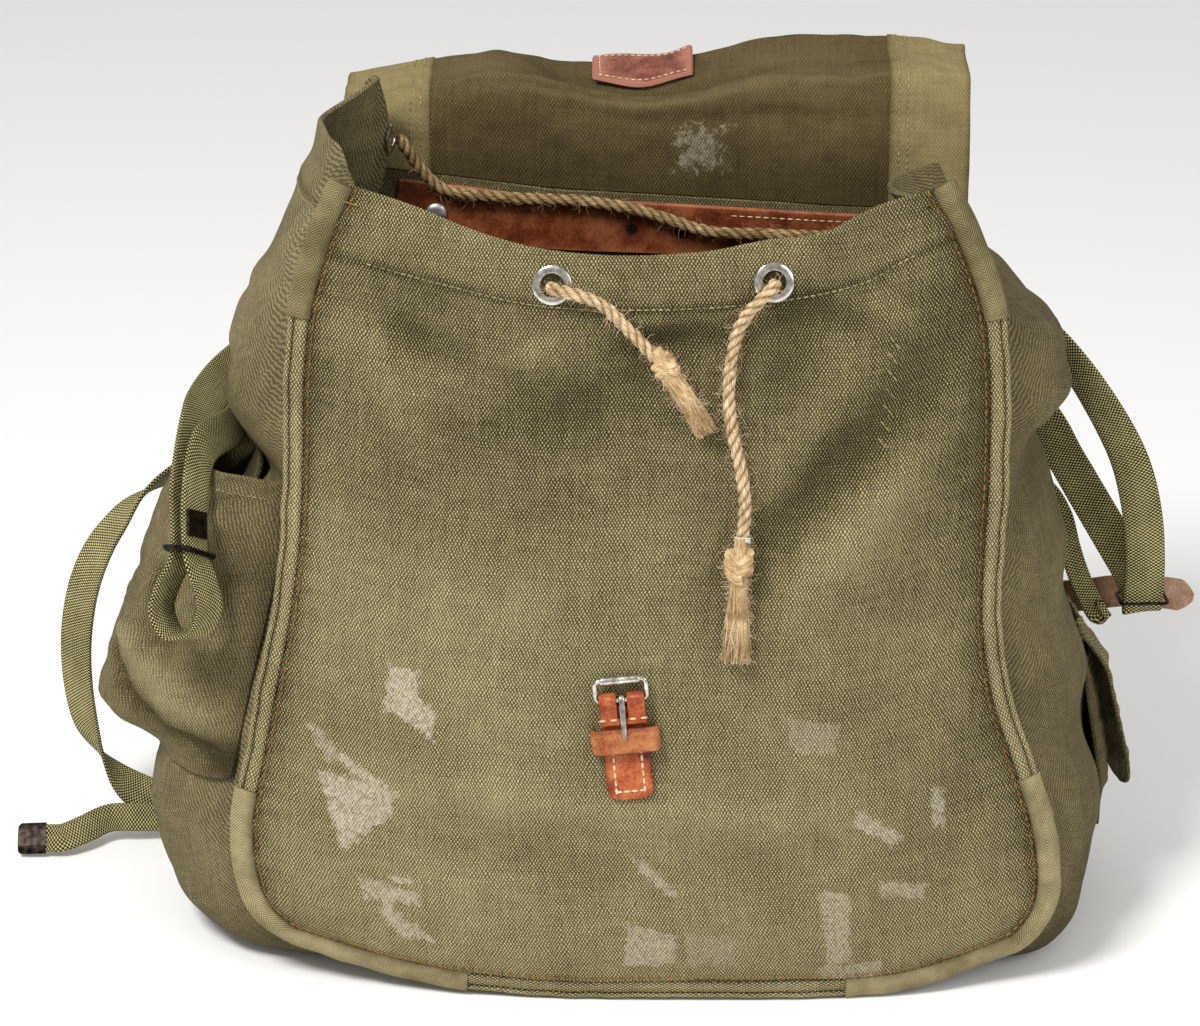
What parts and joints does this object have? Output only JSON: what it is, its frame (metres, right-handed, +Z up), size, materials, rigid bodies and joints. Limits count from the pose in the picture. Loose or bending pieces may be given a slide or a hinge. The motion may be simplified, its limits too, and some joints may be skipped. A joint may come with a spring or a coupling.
{
  "type": "rucksack",
  "caption": "Old canvas rucksack standing open with its lid thrown back, a drawcord at the mouth, side pockets, webbing straps and a small roller buckle on the front.",
  "frame": {"origin": "on the floor under the middle of the base", "axes": "+Z up, +X to the right seen from the front, front panel faces -Y"},
  "size_m": [0.618, 0.2768, 0.4235],
  "materials": {
    "canvas": "coarse olive canvas, worn",
    "dark_canvas": "finer olive canvas, darker",
    "lid_canvas": "olive lining canvas, stained",
    "tape": "herringbone cotton tape",
    "webbing": "ribbed cotton webbing",
    "jute": "twisted natural cord",
    "band_leather": "red brown leather",
    "tab_leather": "worn brown leather",
    "buckle_leather": "orange tan leather, worn",
    "brown_leather": "brown leather",
    "nickel": "nickel plated, dulled",
    "black_metal": "black lacquer, worn"
  },
  "bodies": {
    "bag": {"front_panel": "canvas", "left_edge_roll": "canvas", "bottom_edge_roll": "canvas", "right_edge_roll": "canvas", "left_gusset": "dark_canvas", "right_gusset": "dark_canvas", "base_panel": "dark_canvas", "back_panel": "dark_canvas", "left_pocket": "dark_canvas", "left_pocket_flap": "dark_canvas", "right_pocket": "dark_canvas", "right_pocket_flap": "dark_canvas", "lid_panel": "lid_canvas", "top_left_tape": "tape", "bottom_left_tape": "tape", "bottom_right_tape": "tape", "top_right_tape": "tape", "lid_left_strip": "tape", "lid_right_strip": "tape", "left_strap": "webbing", "right_strap": "webbing", "left_lower_strap": "webbing", "right_lower_strap": "webbing", "left_tail": "webbing", "right_side_loop": "webbing", "cord_left_end": "jute", "cord_inside": "jute", "cord_right_end": "jute", "left_tassel": "jute", "right_tassel": "jute", "leather_band": "band_leather", "lid_tab": "tab_leather", "buckle_chape": "buckle_leather", "buckle_keeper": "buckle_leather", "lid_strap": "brown_leather", "right_leather_end": "brown_leather", "left_front_eyelet": "nickel", "right_front_eyelet": "nickel", "band_rivet": "nickel", "left_slider": "black_metal", "left_strap_plate": "black_metal", "left_tail_tip": "black_metal", "right_slider": "black_metal"},
    "buckle_frame": {"buckle_frame": "nickel"},
    "buckle_roller": {"buckle_roller": "nickel"},
    "buckle_prong": {"buckle_prong": "nickel"}
  },
  "joints": [
    {"name": "frame_swing", "type": "hinge", "parent": "bag", "child": "buckle_frame", "pos_m": [-0.01302, -0.1138, 0.16363], "axis": [0.9949, 0.0101, 0.0999], "range_deg": [0, 60]},
    {"name": "roller_turn", "type": "hinge", "parent": "buckle_frame", "child": "buckle_roller", "pos_m": [-0.01402, -0.11297, 0.17354], "axis": [0.9949, 0.0101, 0.0999], "continuous": true},
    {"name": "prong_swing", "type": "hinge", "parent": "bag", "child": "buckle_prong", "pos_m": [-0.01302, -0.1138, 0.16363], "axis": [-0.9949, -0.0101, -0.0999], "range_deg": [0, 70]}
  ]
}
